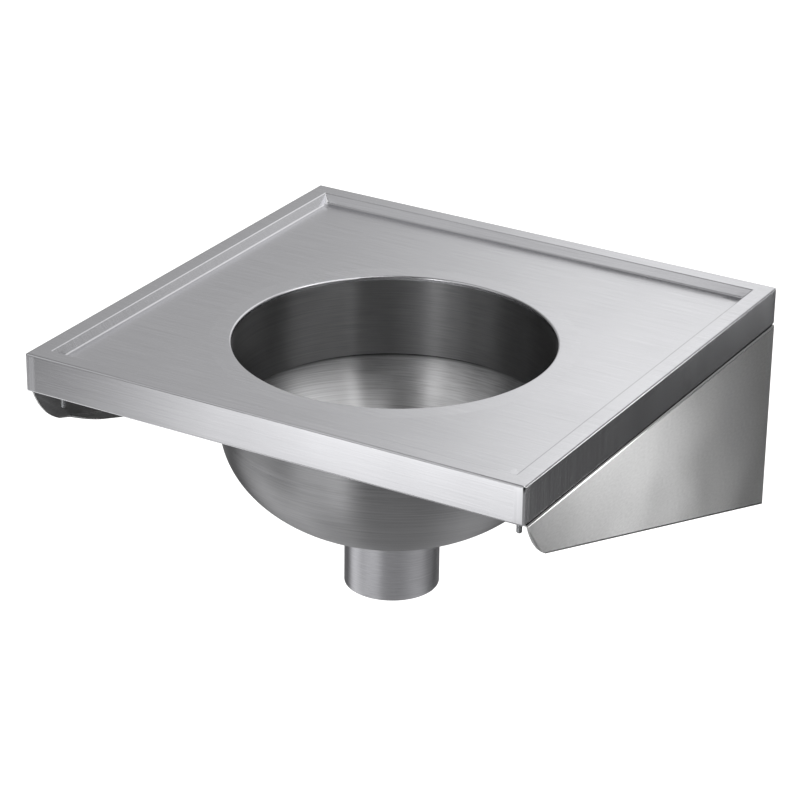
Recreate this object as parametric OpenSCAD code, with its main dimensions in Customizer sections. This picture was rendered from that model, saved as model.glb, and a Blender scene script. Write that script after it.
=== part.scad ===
// Wall-hung sluice sink: a folded deck with a raised rim, a flushing-rim bowl and two gallows brackets.
// The origin is the middle of the four wall fixings, on the wall face. +Y goes into the wall, +Z is up.

/* [Deck] */
// Width of the deck, side to side
deck_w = 600; // [560:10:760]
// Depth of the deck, from the front apron to the rear apron
deck_d = 590; // [560:10:700]
// Height of the folded aprons
apron_h = 44; // [40:1:60]
// Thickness of the deck sheet
sheet_t = 1.5; // [1.2:0.1:2]
// Inside radius of the folds along the aprons
apron_bend_in = 1; // [0.5:0.1:2]
// Inside radius of the ground upright corners
corner_in = 1; // [0.5:0.1:2]
// Width of the lip turned inwards under each apron
return_lip_w = 13; // [8:1:18]
// Width of the flat raised rim
rim_w = 20; // [14:1:26]
// Depth of the deck floor below the rim
recess_depth = 10; // [6:1:12]
// Sideways run of the slope between rim and floor
recess_run = 6.5; // [4:0.5:9]
// Inside radius of the fold at the top of that slope
rim_bend_in = 0.5; // [0.25:0.25:1.5]
// Inside radius of the fold at the foot of that slope
foot_bend_in = 3; // [2:0.5:4]
// Gap between the rear apron and the wall
wall_gap = 2; // [1:1:10]

/* [Bowl] */
// Inside diameter of the bowl opening and its collar
opening_d = 352; // [320:4:370]
// Bowl axis to the front apron's face
bowl_from_front = 259.5; // [255:0.5:270]
// Width of the opening ring that is welded into the deck
ring_w = 24; // [20:1:28]
// Inside radius of the rolled edge round the opening
opening_edge_in = 1; // [0.5:0.25:2]
// Drop of the ring's neck below the deck floor
neck_h = 4.5; // [4.5:0.5:10]
// Drop of the collar's lower edge below the deck floor
collar_drop = 95.5; // [80:0.5:110]
// Thickness of the bowl sheet
bowl_t = 1.5; // [1.2:0.1:2]
// Width of the flushing channel between collar and bowl wall
channel_w = 11; // [8:1:14]
// Drop of the bowl's straight wall below the deck floor
bowl_wall_drop = 96.7; // [90:0.1:115]
// Height of the pressed dish below the straight wall
dish_h = 126.8; // [110:0.1:140]

/* [Outlet and flush inlet] */
// Outside diameter of the outlet spigot
outlet_d = 106; // [90:1:114]
// Wall of the outlet spigot
outlet_t = 1.5; // [1.2:0.1:2.5]
// Length of the outlet spigot below the dish's lowest level
outlet_len = 68.5; // [50:0.5:90]
// Outside diameter of the flush inlet
inlet_d = 38; // [32:1:42]
// Wall of the flush inlet
inlet_t = 1.5; // [1.2:0.1:2]
// Length of the flush inlet behind the bowl
inlet_len = 45; // [30:1:60]
// Drop of the flush inlet's axis below the rim
inlet_drop = 74; // [70:1:80]
// Leg of the weld fillet round the flush inlet's root
inlet_fillet = 3; // [2:0.5:5]

/* [Brackets] */
// Thickness of the bracket sheet
bracket_t = 2; // [1.5:0.5:3]
// Inside radius of the bracket's folds
bracket_bend_in = 1; // [0.5:0.5:2]
// Height of the bracket at the wall
bracket_rear_h = 226; // [220:1:260]
// Setback of the bracket's nose behind the front apron
nose_setback = 9; // [5:1:20]
// Run of the curved nose, front to rear
nose_run = 45; // [35:1:60]
// Height of the curved nose
nose_drop = 51; // [40:1:60]
// Radius of the curved nose
nose_r = 95; // [60:5:150]
// Width of the top flange and of the wall flange
flange_w = 42; // [38:1:50]
// Width of the bottom flange
bottom_flange_w = 21.5; // [15:0.5:30]
// Radius at the front end of the bottom flange
flange_end_r = 36; // [30:1:45]
// Gap from the nose to the full width of the bottom flange
flange_end_run = 51; // [45:1:60]

/* [Fixings] */
// Diameter of the welded studs
stud_d = 6; // [5:1:8]
// Length of the welded studs
stud_len = 26; // [20:1:35]
// Fixing holes to the outer face of the bracket
fixing_inset = 22.5; // [20:0.5:24]
// Front studs to the front apron
front_stud_setback = 34; // [30:1:60]
// Rear studs to the rear apron
rear_stud_setback = 50; // [40:1:80]
// Clearance on diameter in the stud holes
stud_hole_play = 1; // [0.5:0.5:2]
// Width of the nuts across their flats
nut_af = 10; // [8:1:13]
// Height of the nuts
nut_h = 5; // [4:0.5:7]
// Outside diameter of the washers
washer_d = 12; // [11:1:16]
// Thickness of the washers
washer_t = 1.6; // [1:0.1:2]
// Diameter of the wall fixing holes
wall_hole_d = 10; // [8:1:12]
// Height between the wall fixing holes
wall_hole_pitch = 160; // [120:5:170]
// Bracket top to the upper wall fixing holes
wall_hole_top = 30; // [25:1:40]

/* [Under the deck] */
// Thickness of the rails and stiffeners
rail_t = 1.5; // [1.2:0.1:2]
// Width of the rails' feet, which carry the studs
rail_foot_w = 30; // [28:1:34]
// Width of the rails' top flanges
rail_top_w = 24; // [18:1:28]
// Height of the stiffeners
stiffener_h = 20; // [14:1:26]
// Width of the stiffeners' bases
stiffener_base_w = 18; // [14:1:20]
// Width of the stiffeners' side flanges
stiffener_flange_w = 6; // [5:1:8]
// Gap from the front stiffener to the opening ring
stiffener_gap = 3; // [2:1:5]
// Thickness of the packing strips on the brackets
packing_t = 2; // [1.5:0.5:4]
// Setback of the packing strips behind the aprons' faces
packing_setback = 3; // [2:0.5:6]
// Width of the earth tag
tag_w = 16; // [12:1:20]
// Drop of the earth tag below the rails
tag_drop = 18; // [14:1:24]
// Diameter of the hole in the earth tag
tag_hole_d = 5; // [4:0.5:6.5]
// Earth tag to the rear apron
tag_setback = 90; // [70:5:150]

/* [Hidden] */

$fn = 96;
// Overshoot of every cutting shape
eps = 1;
// Side clearance between parts that lie side by side
fit_gap = 0.5;
// Radial clearance round a screw thread
thread_gap = 0.1;
// Points along each small fold and along the dish
fold_steps = 8;
dish_steps = 40;
nose_steps = 16;

// Heights
bracket_top_z = wall_hole_pitch / 2 + wall_hole_top;
lip_z = bracket_top_z + packing_t;
rim_z = lip_z + apron_h;
floor_z = rim_z - recess_depth;
under_z = floor_z - sheet_t;
neck_z = floor_z - neck_h;
collar_z = floor_z - collar_drop;
wall_end_z = floor_z - bowl_wall_drop;
dish_z = wall_end_z - dish_h;
outlet_z = dish_z - outlet_len;
inlet_z = rim_z - inlet_drop;

// Places front to rear
rear_y = -wall_gap;
front_y = rear_y - deck_d;
mid_y = (front_y + rear_y) / 2;
bowl_y = front_y + bowl_from_front;

// Outside radii of the folds
apron_bend_r = apron_bend_in + sheet_t;
corner_r = corner_in + sheet_t;
rim_bend_r = rim_bend_in + sheet_t;
opening_edge_r = opening_edge_in + sheet_t;
bracket_bend_r = bracket_bend_in + bracket_t;

// Radii of the round pieces
opening_r = opening_d / 2;
collar_r = opening_r + sheet_t;
ring_r = opening_r + ring_w;
bowl_inner_r = collar_r + channel_w;
bowl_r = bowl_inner_r + bowl_t;
outlet_r = outlet_d / 2;
outlet_bore_r = outlet_r - outlet_t;
inlet_r = inlet_d / 2;
inlet_bore_r = inlet_r - inlet_t;

// Bracket, seen from the side
side_x = deck_w / 2;
nose_y = front_y + nose_setback;
nose_end_y = nose_y + nose_run;
nose_end_z = bracket_top_z - nose_drop;
bracket_low_z = bracket_top_z - bracket_rear_h;
bracket_slope = atan2(nose_end_z - bracket_low_z, -nose_end_y);

// Fixings
fixing_x = side_x - fixing_inset;
front_stud_y = front_y + front_stud_setback;
rear_stud_y = rear_y - rear_stud_setback;
stud_hole_d = stud_d + stud_hole_play;
flange_under_z = bracket_top_z - bracket_t;

// Rails
rail_out_x = side_x - return_lip_w - fit_gap;
rail_web_x = rail_out_x - rail_foot_w;
rail_in_x = rail_web_x - rail_top_w;
rail_front_y = front_y + return_lip_w + fit_gap;
rail_rear_y = rear_y - return_lip_w - fit_gap;

// Stiffeners: the front one close to the opening ring, the rear one midway to the rear apron's inner face
front_stiffener_y = bowl_y - ring_r - stiffener_gap - stiffener_base_w / 2 - stiffener_flange_w;
rear_stiffener_y = (rear_y - sheet_t + bowl_y + ring_r) / 2;

// A list of points in the opposite order
function backwards(points) = [for (i = [len(points) - 1:-1:0]) points[i]];

// Points on a circle's arc, from angle a0 to angle a1
function arc_points(centre, r, a0, a1, steps) =
  [for (i = [0:steps]) let (a = a0 + (a1 - a0) * i / steps) centre + r * [cos(a), sin(a)]];

// Height of the dish's surface at radius r, for an ellipse with half axes a and c
function dish_height(r, a, c) = wall_end_z - c * sqrt(1 - pow(r / a, 2));

// Points on the dish's ellipse, from the straight wall to radius r_end
function dish_points(a, c, r_end) =
  let (last = acos(r_end / a))
  [for (i = [0:dish_steps]) let (q = last * i / dish_steps) [a * cos(q), wall_end_z - c * sin(q)]];

// Height of the bracket's bottom line at y, moved up square to itself by inset
function bottom_line_z(y, inset) =
  bracket_low_z - y * tan(bracket_slope) + inset / cos(bracket_slope);

// A rectangle with rounded corners, about the origin
module rounded_rect(w, h, r) {
  square([w - 2 * r, h], center = true);
  square([w, h - 2 * r], center = true);
  for (sx = [-1, 1], sy = [-1, 1])
    translate([sx * (w / 2 - r), sy * (h / 2 - r)])
      circle(r);
}

// A flat section in X and Z, drawn out along Y about the origin
module along_y(length) {
  rotate([90, 0, 0])
    linear_extrude(height = length, center = true)
      children();
}

// A flat section in Y and Z, drawn out along X about the origin
module along_x(length) {
  rotate([90, 0, 90])
    linear_extrude(height = length, center = true)
      children();
}

// A block whose long edges are folded to one radius and whose upright corners are ground to another
module folded_block(w, d, h, edge_r, upright_r) {
  intersection() {
    along_y(d)
      rounded_rect(w, h, edge_r);
    along_x(w)
      rounded_rect(d, h, edge_r);
    linear_extrude(height = h, center = true)
      rounded_rect(w, d, upright_r);
  }
}

// Section of the hollow inside the rim, and of the sheet under it where skin is the sheet's thickness
module recess_section(span, skin) {
  slope = atan2(recess_depth, recess_run);
  half = span / 2 - rim_w;
  top_centre = [half + rim_bend_r * tan(slope / 2), -rim_bend_r];
  foot_centre = [half - recess_run - foot_bend_in * tan(slope / 2), foot_bend_in - recess_depth];
  side = concat(
    [[half + rim_bend_r * tan(slope / 2), eps - skin]],
    arc_points(top_centre, rim_bend_r - skin, 90, 90 + slope, fold_steps),
    arc_points(foot_centre, foot_bend_in + skin, slope - 90, -90, fold_steps)
  );
  polygon(concat(side, [for (p = backwards(side)) [-p[0], p[1]]]));
}

// The hollow inside the rim, with mitred corners
module recess(skin) {
  translate([0, mid_y, rim_z])
    intersection() {
      along_y(deck_d)
        recess_section(deck_w, skin);
      along_x(deck_w)
        recess_section(deck_d, skin);
    }
}

// The folded deck: a block with folded edges, hollowed from below
module deck_panel() {
  block_z = rim_z - apron_h / 2;
  mouth_w = deck_w - 2 * return_lip_w;
  mouth_d = deck_d - 2 * return_lip_w;
  color("gainsboro")
    difference() {
      translate([0, mid_y, block_z])
        folded_block(deck_w, deck_d, apron_h, apron_bend_r, corner_r);
      recess(0);
      difference() {
        translate([0, mid_y, block_z])
          folded_block(
            deck_w - 2 * sheet_t,
            deck_d - 2 * sheet_t,
            apron_h - 2 * sheet_t,
            apron_bend_in,
            corner_in
          );
        recess(sheet_t);
      }
      translate([-mouth_w / 2, mid_y - mouth_d / 2, lip_z - eps])
        cube([mouth_w, mouth_d, sheet_t + 2 * eps]);
      translate([0, bowl_y, under_z - eps])
        cylinder(h = sheet_t + 2 * eps, r = ring_r);
    }
}

// The ring that is welded into the deck: flat outside, rolled over its inner edge, with a neck below
module opening_ring() {
  color("gainsboro")
    translate([0, bowl_y, 0])
      rotate_extrude() {
        translate([opening_r, neck_z])
          square([sheet_t, neck_h - opening_edge_r]);
        translate([opening_r + opening_edge_r, under_z])
          square([ring_w - opening_edge_r, sheet_t]);
        translate([opening_r + opening_edge_r, floor_z - opening_edge_r])
          intersection() {
            difference() {
              circle(opening_edge_r);
              circle(opening_edge_in);
            }
            translate([-opening_edge_r, 0])
              square(opening_edge_r);
          }
      }
}

module bowl_collar() {
  color("gray")
    translate([0, bowl_y, collar_z])
      difference() {
        cylinder(h = neck_z - collar_z, r = collar_r);
        translate([0, 0, -eps])
          cylinder(h = neck_z - collar_z + 2 * eps, r = opening_r);
      }
}

// The bowl's rolled wall, with the hole for the flush inlet
module bowl_wall() {
  color("silver")
    translate([0, bowl_y, wall_end_z])
      difference() {
        cylinder(h = under_z - wall_end_z, r = bowl_r);
        translate([0, 0, -eps])
          cylinder(h = under_z - wall_end_z + 2 * eps, r = bowl_inner_r);
        translate([0, bowl_inner_r - channel_w / 2, inlet_z - wall_end_z])
          rotate([-90, 0, 0])
            cylinder(h = channel_w + bowl_t, r = inlet_bore_r);
      }
}

// The bowl's pressed dish, between two ellipses
module bowl_dish() {
  color("silver")
    translate([0, bowl_y, 0])
      rotate_extrude()
        polygon(concat(
          dish_points(bowl_r, dish_h, outlet_r),
          [[outlet_bore_r, dish_height(outlet_bore_r, bowl_r, dish_h)]],
          backwards(dish_points(bowl_inner_r, dish_h - bowl_t, outlet_bore_r))
        ));
}

module outlet_spigot() {
  color("darkgray")
    translate([0, bowl_y, 0])
      rotate_extrude()
        polygon([
          [outlet_bore_r, outlet_z],
          [outlet_r, outlet_z],
          [outlet_r, dish_height(outlet_r, bowl_r, dish_h)],
          [outlet_bore_r, dish_height(outlet_bore_r, bowl_r, dish_h)]
        ]);
}

// The flush inlet: a tube saddled on the bowl's wall, with a weld fillet round its root
module flush_inlet() {
  root_len = bowl_r + inlet_fillet;
  color("darkgray")
    translate([0, bowl_y, 0])
      difference() {
        translate([0, 0, inlet_z])
          rotate([-90, 0, 0])
            union() {
              cylinder(h = bowl_r + inlet_len, r = inlet_r);
              cylinder(h = root_len - inlet_fillet, r = inlet_r + inlet_fillet);
              translate([0, 0, root_len - inlet_fillet])
                cylinder(h = inlet_fillet, r1 = inlet_r + inlet_fillet, r2 = inlet_r);
            }
        translate([0, 0, inlet_z])
          rotate([-90, 0, 0])
            cylinder(h = bowl_r + inlet_len + eps, r = inlet_bore_r);
        translate([0, 0, inlet_z - inlet_d])
          cylinder(h = 2 * inlet_d, r = bowl_r);
      }
}

// Side outline of the bracket in Y and Z, shrunk by inset where open_nose leaves the nose out
module bracket_outline(inset, open_nose) {
  chord = [nose_run, -nose_drop];
  half_turn = asin(norm(chord) / 2 / nose_r);
  chord_angle = atan2(chord[1], chord[0]);
  start_angle = chord_angle - 90 - half_turn;
  nose_centre = [nose_y, bracket_top_z] - nose_r * [cos(start_angle), sin(start_angle)];
  front = open_nose
    ? [[nose_y - nose_run, bracket_top_z - inset],
       [nose_y - nose_run, bottom_line_z(nose_y - nose_run, inset)]]
    : arc_points(nose_centre, nose_r, start_angle, start_angle + 2 * half_turn, nose_steps);
  polygon(concat(front, [[-inset, bottom_line_z(-inset, inset)], [-inset, bracket_top_z - inset]]));
}

// What a fold takes off a square edge. The edge lies on the origin's Y line, at the corner of +X and +Z.
module fold_cut(length, r) {
  difference() {
    translate([-r, 0, -r])
      cube([r + eps, length, r + eps]);
    translate([-r, -eps, -r])
      rotate([-90, 0, 0])
        cylinder(h = length + 2 * eps, r = r);
  }
}

// The bracket's outline as a block, with its three outer edges folded to radius r
module bracket_block(inset, r, open_nose) {
  face_x = side_x - inset;
  start_x = side_x - flange_w - (open_nose ? eps : 0);
  length = nose_run - front_y;
  difference() {
    translate([start_x, 0, 0])
      rotate([90, 0, 90])
        linear_extrude(height = face_x - start_x)
          bracket_outline(inset, open_nose);
    translate([face_x, -length, bracket_top_z - inset])
      fold_cut(length, r);
    translate([face_x, -inset, bracket_top_z])
      rotate([-90, 0, 0])
        fold_cut(bracket_rear_h + eps, r);
    translate([face_x, -inset, bottom_line_z(-inset, inset)])
      rotate([-bracket_slope, 0, 0])
        rotate([0, 90, 0])
          translate([0, -length, 0])
            fold_cut(length, r);
  }
}

// What the narrow bottom flange and its rounded front end leave out
module bottom_flange_cut() {
  end_y = nose_end_y + flange_end_run;
  edge_x = side_x - bottom_flange_w;
  inner_x = side_x - flange_w - eps;
  band = 2 * bracket_bend_r;
  low_z = bottom_line_z(end_y, -band);
  translate([inner_x, 0, 0])
    rotate([90, 0, 90])
      linear_extrude(height = edge_x - inner_x)
        polygon([
          [nose_y, bottom_line_z(nose_y, -band)],
          [-bracket_bend_r, bottom_line_z(-bracket_bend_r, -band)],
          [-bracket_bend_r, bottom_line_z(-bracket_bend_r, band)],
          [nose_y, bottom_line_z(nose_y, band)]
        ]);
  difference() {
    translate([inner_x, nose_y, low_z])
      cube([side_x - bracket_t - inner_x, end_y - nose_y, bracket_top_z - bracket_bend_r - low_z]);
    translate([edge_x + flange_end_r, end_y, low_z - eps])
      cylinder(h = bracket_rear_h, r = flange_end_r);
  }
}

module bracket() {
  color("lightgray")
    difference() {
      bracket_block(0, bracket_bend_r, false);
      bracket_block(bracket_t, bracket_bend_in, true);
      bottom_flange_cut();
      for (y = [front_stud_y, rear_stud_y])
        translate([fixing_x, y, flange_under_z - eps])
          cylinder(h = bracket_t + 2 * eps, d = stud_hole_d);
      for (z = [-wall_hole_pitch / 2, wall_hole_pitch / 2])
        translate([fixing_x, eps, z])
          rotate([90, 0, 0])
            cylinder(h = bracket_t + 2 * eps, d = wall_hole_d);
    }
}

module right_bracket() {
  bracket();
}

module left_bracket() {
  mirror([1, 0, 0])
    bracket();
}

// A Z-shaped rail: top flange under the deck floor, web, and foot level with the aprons' lips
module deck_rail() {
  color("darkgray")
    translate([0, (rail_front_y + rail_rear_y) / 2, 0])
      along_y(rail_rear_y - rail_front_y) {
        translate([rail_in_x, under_z - rail_t])
          square([rail_top_w + rail_t, rail_t]);
        translate([rail_web_x, lip_z])
          square([rail_t, under_z - lip_z]);
        translate([rail_web_x, lip_z])
          square([rail_foot_w, rail_t]);
      }
}

module right_deck_rail() {
  deck_rail();
}

module left_deck_rail() {
  mirror([1, 0, 0])
    deck_rail();
}

// A hat-shaped stiffener under the deck floor, between the rails
module stiffener(y) {
  web_w = stiffener_base_w / 2;
  color("darkgray")
    translate([0, y, under_z])
      along_x(2 * (rail_in_x - fit_gap)) {
        for (side = [-1, 1]) {
          translate([side * (web_w + stiffener_flange_w / 2), -rail_t / 2])
            square([stiffener_flange_w, rail_t], center = true);
          translate([side * (web_w - rail_t / 2), -stiffener_h / 2])
            square([rail_t, stiffener_h], center = true);
        }
        translate([-web_w, -stiffener_h])
          square([stiffener_base_w, rail_t]);
      }
}

module front_stiffener() {
  stiffener(front_stiffener_y);
}

module rear_stiffener() {
  stiffener(rear_stiffener_y);
}

// The strip that packs the deck off the bracket's top flange
module packing_strip() {
  out_x = side_x - packing_setback;
  in_x = side_x - flange_w;
  color("dimgray")
    difference() {
      translate([in_x, nose_y + packing_setback, bracket_top_z])
        cube([out_x - in_x, rear_y - packing_setback - nose_y - packing_setback, packing_t]);
      for (y = [front_stud_y, rear_stud_y])
        translate([fixing_x, y, bracket_top_z - eps])
          cylinder(h = packing_t + 2 * eps, d = stud_hole_d);
    }
}

module right_packing_strip() {
  packing_strip();
}

module left_packing_strip() {
  mirror([1, 0, 0])
    packing_strip();
}

// Puts its children at each of the four studs
module at_studs() {
  for (x = [-fixing_x, fixing_x], y = [front_stud_y, rear_stud_y])
    translate([x, y, 0])
      children();
}

module deck_studs() {
  chamfer = stud_d / 6;
  color("dimgray")
    at_studs()
      translate([0, 0, lip_z - stud_len]) {
        cylinder(h = chamfer, r1 = stud_d / 2 - chamfer, r2 = stud_d / 2);
        translate([0, 0, chamfer])
          cylinder(h = stud_len - chamfer, r = stud_d / 2);
      }
}

module stud_washers() {
  color("silver")
    at_studs()
      translate([0, 0, flange_under_z - washer_t])
        difference() {
          cylinder(h = washer_t, d = washer_d);
          translate([0, 0, -eps])
            cylinder(h = washer_t + 2 * eps, r = stud_d / 2 + 2 * thread_gap);
        }
}

module stud_nuts() {
  color("silver")
    at_studs()
      translate([0, 0, flange_under_z - washer_t - nut_h])
        difference() {
          cylinder(h = nut_h, r = nut_af / 2 / cos(30), $fn = 6);
          translate([0, 0, -eps])
            cylinder(h = nut_h + 2 * eps, r = stud_d / 2 + thread_gap);
        }
}

// The earth tag: a plate that stands square to the right rail's web, on its inner side
module earth_tag() {
  tag_y = rear_y - tag_setback;
  tag_low_z = lip_z - tag_drop;
  tag_top_z = (lip_z + under_z) / 2;
  color("silver")
    difference() {
      translate([rail_web_x - tag_w, tag_y - rail_t / 2, tag_low_z])
        cube([tag_w, rail_t, tag_top_z - tag_low_z]);
      translate([rail_web_x - tag_w / 2, tag_y, tag_low_z + tag_w / 2])
        rotate([90, 0, 0])
          cylinder(h = rail_t + 2 * eps, d = tag_hole_d, center = true);
    }
}

deck_panel();
opening_ring();
bowl_collar();
bowl_wall();
bowl_dish();
outlet_spigot();
flush_inlet();
left_bracket();
right_bracket();
left_deck_rail();
right_deck_rail();
front_stiffener();
rear_stiffener();
left_packing_strip();
right_packing_strip();
deck_studs();
stud_washers();
stud_nuts();
earth_tag();
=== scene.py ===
import math
import bmesh
import bpy
import numpy as np
from mathutils import Matrix, Vector


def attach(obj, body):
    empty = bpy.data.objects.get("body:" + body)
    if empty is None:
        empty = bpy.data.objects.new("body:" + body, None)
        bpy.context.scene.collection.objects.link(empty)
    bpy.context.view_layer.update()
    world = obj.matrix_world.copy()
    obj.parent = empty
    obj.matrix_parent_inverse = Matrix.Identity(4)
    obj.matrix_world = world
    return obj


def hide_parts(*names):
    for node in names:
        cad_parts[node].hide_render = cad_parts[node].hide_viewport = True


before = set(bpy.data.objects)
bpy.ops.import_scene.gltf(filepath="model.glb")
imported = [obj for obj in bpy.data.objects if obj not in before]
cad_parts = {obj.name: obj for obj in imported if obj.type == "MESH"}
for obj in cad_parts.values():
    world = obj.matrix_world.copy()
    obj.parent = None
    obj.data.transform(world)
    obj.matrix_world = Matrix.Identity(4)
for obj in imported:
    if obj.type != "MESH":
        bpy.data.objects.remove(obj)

# A wall-hung sluice sink of brushed stainless steel. The frame's solids are redrawn as smooth sheet
# pieces, dressed in procedural steel and set in a plain light tent. Lengths in the settings are mm.

scene = bpy.context.scene
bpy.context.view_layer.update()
print("frame loaded:", len(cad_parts), "nodes")

mm = 0.001
bowlAxis = (0.0, -0.3325)           # m
mergeReach = 0.002 * mm             # points nearer than this become one
turnSteps = 288                     # round a turned piece
sharpFrom = 35                      # degrees, an edge that bends more stays sharp
flatWeight = 50                     # how far a large face's normal outweighs a small bend's

# small helpers


def linearColour(code):
    # sRGB hex code to linear light, channel by channel
    c = np.array([int(code[i:i + 2], 16) for i in (1, 3, 5)]) / 255
    c = np.where(c <= 0.04045, c / 12.92, ((c + 0.055) / 1.055) ** 2.4)
    return (*c.tolist(), 1.0)


def addNode(tree, kind, inputs=None, **settings):
    # one shader node: settings are its own properties, inputs are values or (node, output) links
    made = tree.nodes.new("ShaderNode" + kind)
    for key, value in settings.items():
        setattr(made, key, value)
    for key, value in (inputs or {}).items():
        if isinstance(value, tuple) and isinstance(value[0], bpy.types.Node):
            tree.links.new(value[0].outputs[value[1]], made.inputs[key])
        else:
            made.inputs[key].default_value = value
    return made


def mixColour(tree, share, first, second):
    # colour mix: input 0 is the share, 6 and 7 are the colours, output 2 is the result
    return addNode(tree, "Mix", {0: share, 6: first, 7: second}, data_type="RGBA"), 2


def emptyMaterial(name):
    mat = bpy.data.materials.new(name)
    mat.use_nodes = True
    mat.node_tree.nodes.clear()
    return mat, mat.node_tree


def fullTurn(steps):
    # headings once round, the last one step short of the first
    return np.linspace(0, 2 * np.pi, steps, endpoint=False)


def gridQuads(rows, cols, closeRows, closeCols, flip=False):
    # every cell of a grid as a quad: row and column of its four corners, counted past the end where it closes
    r, c = np.meshgrid(np.arange(rows - (not closeRows)), np.arange(cols - (not closeCols)), indexing="ij")
    row = np.stack([r, r, r + 1, r + 1], -1).reshape(-1, 4)
    col = np.stack([c, c + 1, c + 1, c], -1).reshape(-1, 4)
    if flip:
        row, col = row[:, ::-1], col[:, ::-1]
    return row, col


def gridPoints(row, col, rows, cols):
    # the quads' point numbers, counted round where the grid closes
    return row % rows * cols + col % cols


def ringPoints(radius, height, a):
    # rings round an upright axis: x = r cos a, y = r sin a, z = h
    return np.stack([radius * np.cos(a), radius * np.sin(a), height + 0 * a], -1)


def readField(items, key, width, kind=float):
    # one property of all points, corners or faces of a mesh, a row for each
    values = np.empty(len(items) * width, kind)
    items.foreach_get(key, values)
    return values.reshape(-1, width)


def writeUv(mesh, uv):
    # one UV pair per corner, in the layer that the materials read
    layer = mesh.uv_layers.get("flat") or mesh.uv_layers.new(name="flat")
    layer.data.foreach_set("uv", uv.astype(np.float32).ravel())


def linkPiece(name, data):
    piece = bpy.data.objects.new(name, data)
    scene.collection.objects.link(piece)
    return piece


def putMesh(name, points, quads, uv=None, fields=None, smooth=True):
    # points, quads and one UV pair per quad corner into a new object at the origin
    mesh = bpy.data.meshes.new(name)
    mesh.from_pydata(points.reshape(-1, 3).tolist(), [], quads.tolist())
    if uv is not None:
        writeUv(mesh, uv)
    for key, values in (fields or {}).items():
        spot = mesh.attributes.new(key, "FLOAT", "POINT")
        spot.data.foreach_set("value", values.astype(np.float32).ravel())
    mesh.polygons.foreach_set("use_smooth", np.full(len(mesh.polygons), smooth))
    mesh.update()
    return linkPiece(name, mesh)


def closeSeams(piece):
    # points that coincide become one, which closes poles and joins patches
    work = bmesh.new()
    work.from_mesh(piece.data)
    bmesh.ops.remove_doubles(work, verts=work.verts, dist=mergeReach)
    work.to_mesh(piece.data)
    work.free()


def nodeCopy(name, node):
    # a merged copy of one of the frame's solids, which itself stays as it is
    piece = linkPiece(name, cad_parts[node].data.copy())
    closeSeams(piece)
    return piece


def evenNormals(piece):
    # corners stay sharp, and large flat faces keep their own normal next to small bends
    piece.data.set_sharp_from_angle(angle=math.radians(sharpFrom))
    turn = piece.modifiers.new("evenNormals", "WEIGHTED_NORMAL")
    turn.mode = "FACE_AREA"
    turn.weight = flatWeight
    turn.keep_sharp = True


def dress(piece, material, slot, *nodes):
    # a piece's material, the body it rides on and the solids it stands in for; its slot is not used
    piece.data.materials.clear()
    piece.data.materials.append(material)
    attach(piece, "root")
    if nodes:
        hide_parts(*nodes)


def secondMaterial(piece, material, faces):
    # the faces marked 1 take another material
    piece.data.materials.append(material)
    piece.data.polygons.foreach_set("material_index", faces.astype(int))


def filletPath(corners, radii, steps):
    # a path through corner points, with each corner cut by an arc tangent to both its sides
    pts = np.array(corners, float)
    out = []
    for before, at, after, r in zip(np.roll(pts, 1, 0), pts, np.roll(pts, -1, 0), radii):
        if r == 0:
            out.append(at[None])
            continue
        a = (before - at) / np.linalg.norm(before - at)
        b = (after - at) / np.linalg.norm(after - at)
        half = math.acos(np.clip(a @ b, -1, 1)) / 2
        centre = at + (a + b) / np.linalg.norm(a + b) * r / math.sin(half)
        p, q = at + a * r / math.tan(half) - centre, at + b * r / math.tan(half) - centre
        t = np.linspace(0, 1, steps + 1)[:, None]
        span = math.pi - 2 * half
        out.append(centre + (np.sin((1 - t) * span) * p + np.sin(t * span) * q) / math.sin(span))
    return np.concatenate(out)


def refine(path, longest, closed=True):
    # extra points along the long straight steps of a path
    ends = np.roll(path, -1, 0) if closed else path[1:]
    starts = path if closed else path[:-1]
    parts = []
    for a, b in zip(starts, ends):
        n = max(1, int(np.ceil(np.linalg.norm(b - a) / longest)))
        parts.append(a + (b - a) * np.arange(n)[:, None] / n)
    if not closed:
        parts.append(path[-1:])
    return np.concatenate(parts)


def pathLength(path):
    # distance along the path at each of its points
    return np.concatenate([[0], np.cumsum(np.linalg.norm(np.diff(path, axis=0), axis=1))])


def turned(name, profile, fields=None):
    # a closed profile (radius, height) in mm carried round the bowl's axis
    path = profile * mm
    points = ringPoints(path[:, :1], path[:, 1:], fullTurn(turnSteps)) + np.array([*bowlAxis, 0])
    row, col = gridQuads(len(path), turnSteps, True, True)
    length = pathLength(np.concatenate([path, path[:1]]))
    uv = np.stack([col / turnSteps * 2 * np.pi * path[:, 0].max(), length[row]], -1)
    spread = {key: np.repeat(values, turnSteps) for key, values in (fields or {}).items()}
    return putMesh(name, points, gridPoints(row, col, len(path), turnSteps), uv, spread)


# camera, fitted to the photo's corners

view = {
    "place": (1.5502, -2.9784, 1.4925), "aim": (0.09558, -0.48314, 0.156),      # m
    "roll": 0.77,                       # degrees
    "lens": 139.8, "sensor": 36,        # mm
    "farthest": 50,                     # m
}
forward = (Vector(view["aim"]) - Vector(view["place"])).normalized()
level = forward.cross(Vector((0, 0, 1))).normalized()
roll = math.radians(view["roll"])
right = level * math.cos(roll) + level.cross(forward) * math.sin(roll)
upward = right.cross(forward)
lens = bpy.data.cameras.new("viewer")
lens.lens = view["lens"]
lens.sensor_width = view["sensor"]
lens.clip_end = view["farthest"]
viewer = linkPiece("viewer", lens)
axes = Matrix((right, upward, -forward)).transposed()
viewer.matrix_world = Matrix.Translation(view["place"]) @ axes.to_4x4()
scene.camera = viewer
scene.view_settings.view_transform = "Standard"
print("camera set")

# materials


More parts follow.
